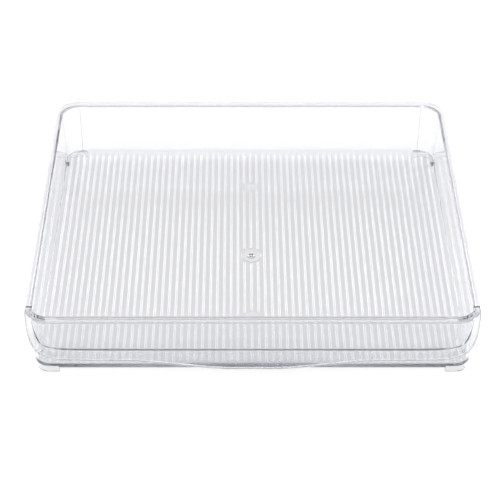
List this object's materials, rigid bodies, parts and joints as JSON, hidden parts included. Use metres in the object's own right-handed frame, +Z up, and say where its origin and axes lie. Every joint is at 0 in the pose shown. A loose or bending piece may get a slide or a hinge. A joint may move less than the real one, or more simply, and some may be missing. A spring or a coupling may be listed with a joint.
{
  "type": "fridge bin",
  "caption": "Wide shallow clear plastic fridge bin with a flat rim, ribbed floor, corner feet and a pull lip that sweeps down from the side rims across the front.",
  "frame": {"origin": "on the surface the feet stand on, under the middle of the whole outline with its lip", "axes": "+X to the bin's right-hand side, -Y to its front where the pull lip is, +Z up"},
  "size_m": [0.362, 0.3231, 0.0609],
  "materials": {
    "clear_plastic": "clear glossy moulded polystyrene, faintly cool in its thick edges"
  },
  "bodies": {
    "root": {"floor_panel": "clear_plastic", "gate_mark": "clear_plastic", "rear_pad": "clear_plastic", "front_pad": "clear_plastic", "right_wall": "clear_plastic", "right_rim": "clear_plastic", "left_wall": "clear_plastic", "left_rim": "clear_plastic", "rear_wall": "clear_plastic", "rear_rim": "clear_plastic", "front_wall": "clear_plastic", "front_rim": "clear_plastic", "rear_right_corner": "clear_plastic", "front_right_corner": "clear_plastic", "rear_right_corner_rim": "clear_plastic", "front_right_corner_rim": "clear_plastic", "rear_left_corner": "clear_plastic", "front_left_corner": "clear_plastic", "rear_left_corner_rim": "clear_plastic", "front_left_corner_rim": "clear_plastic", "front_left_foot": "clear_plastic", "front_right_foot": "clear_plastic", "rear_left_foot": "clear_plastic", "rear_right_foot": "clear_plastic", "lip_right_sweep": "clear_plastic", "lip_left_sweep": "clear_plastic", "lip_front": "clear_plastic"}
  },
  "joints": []
}
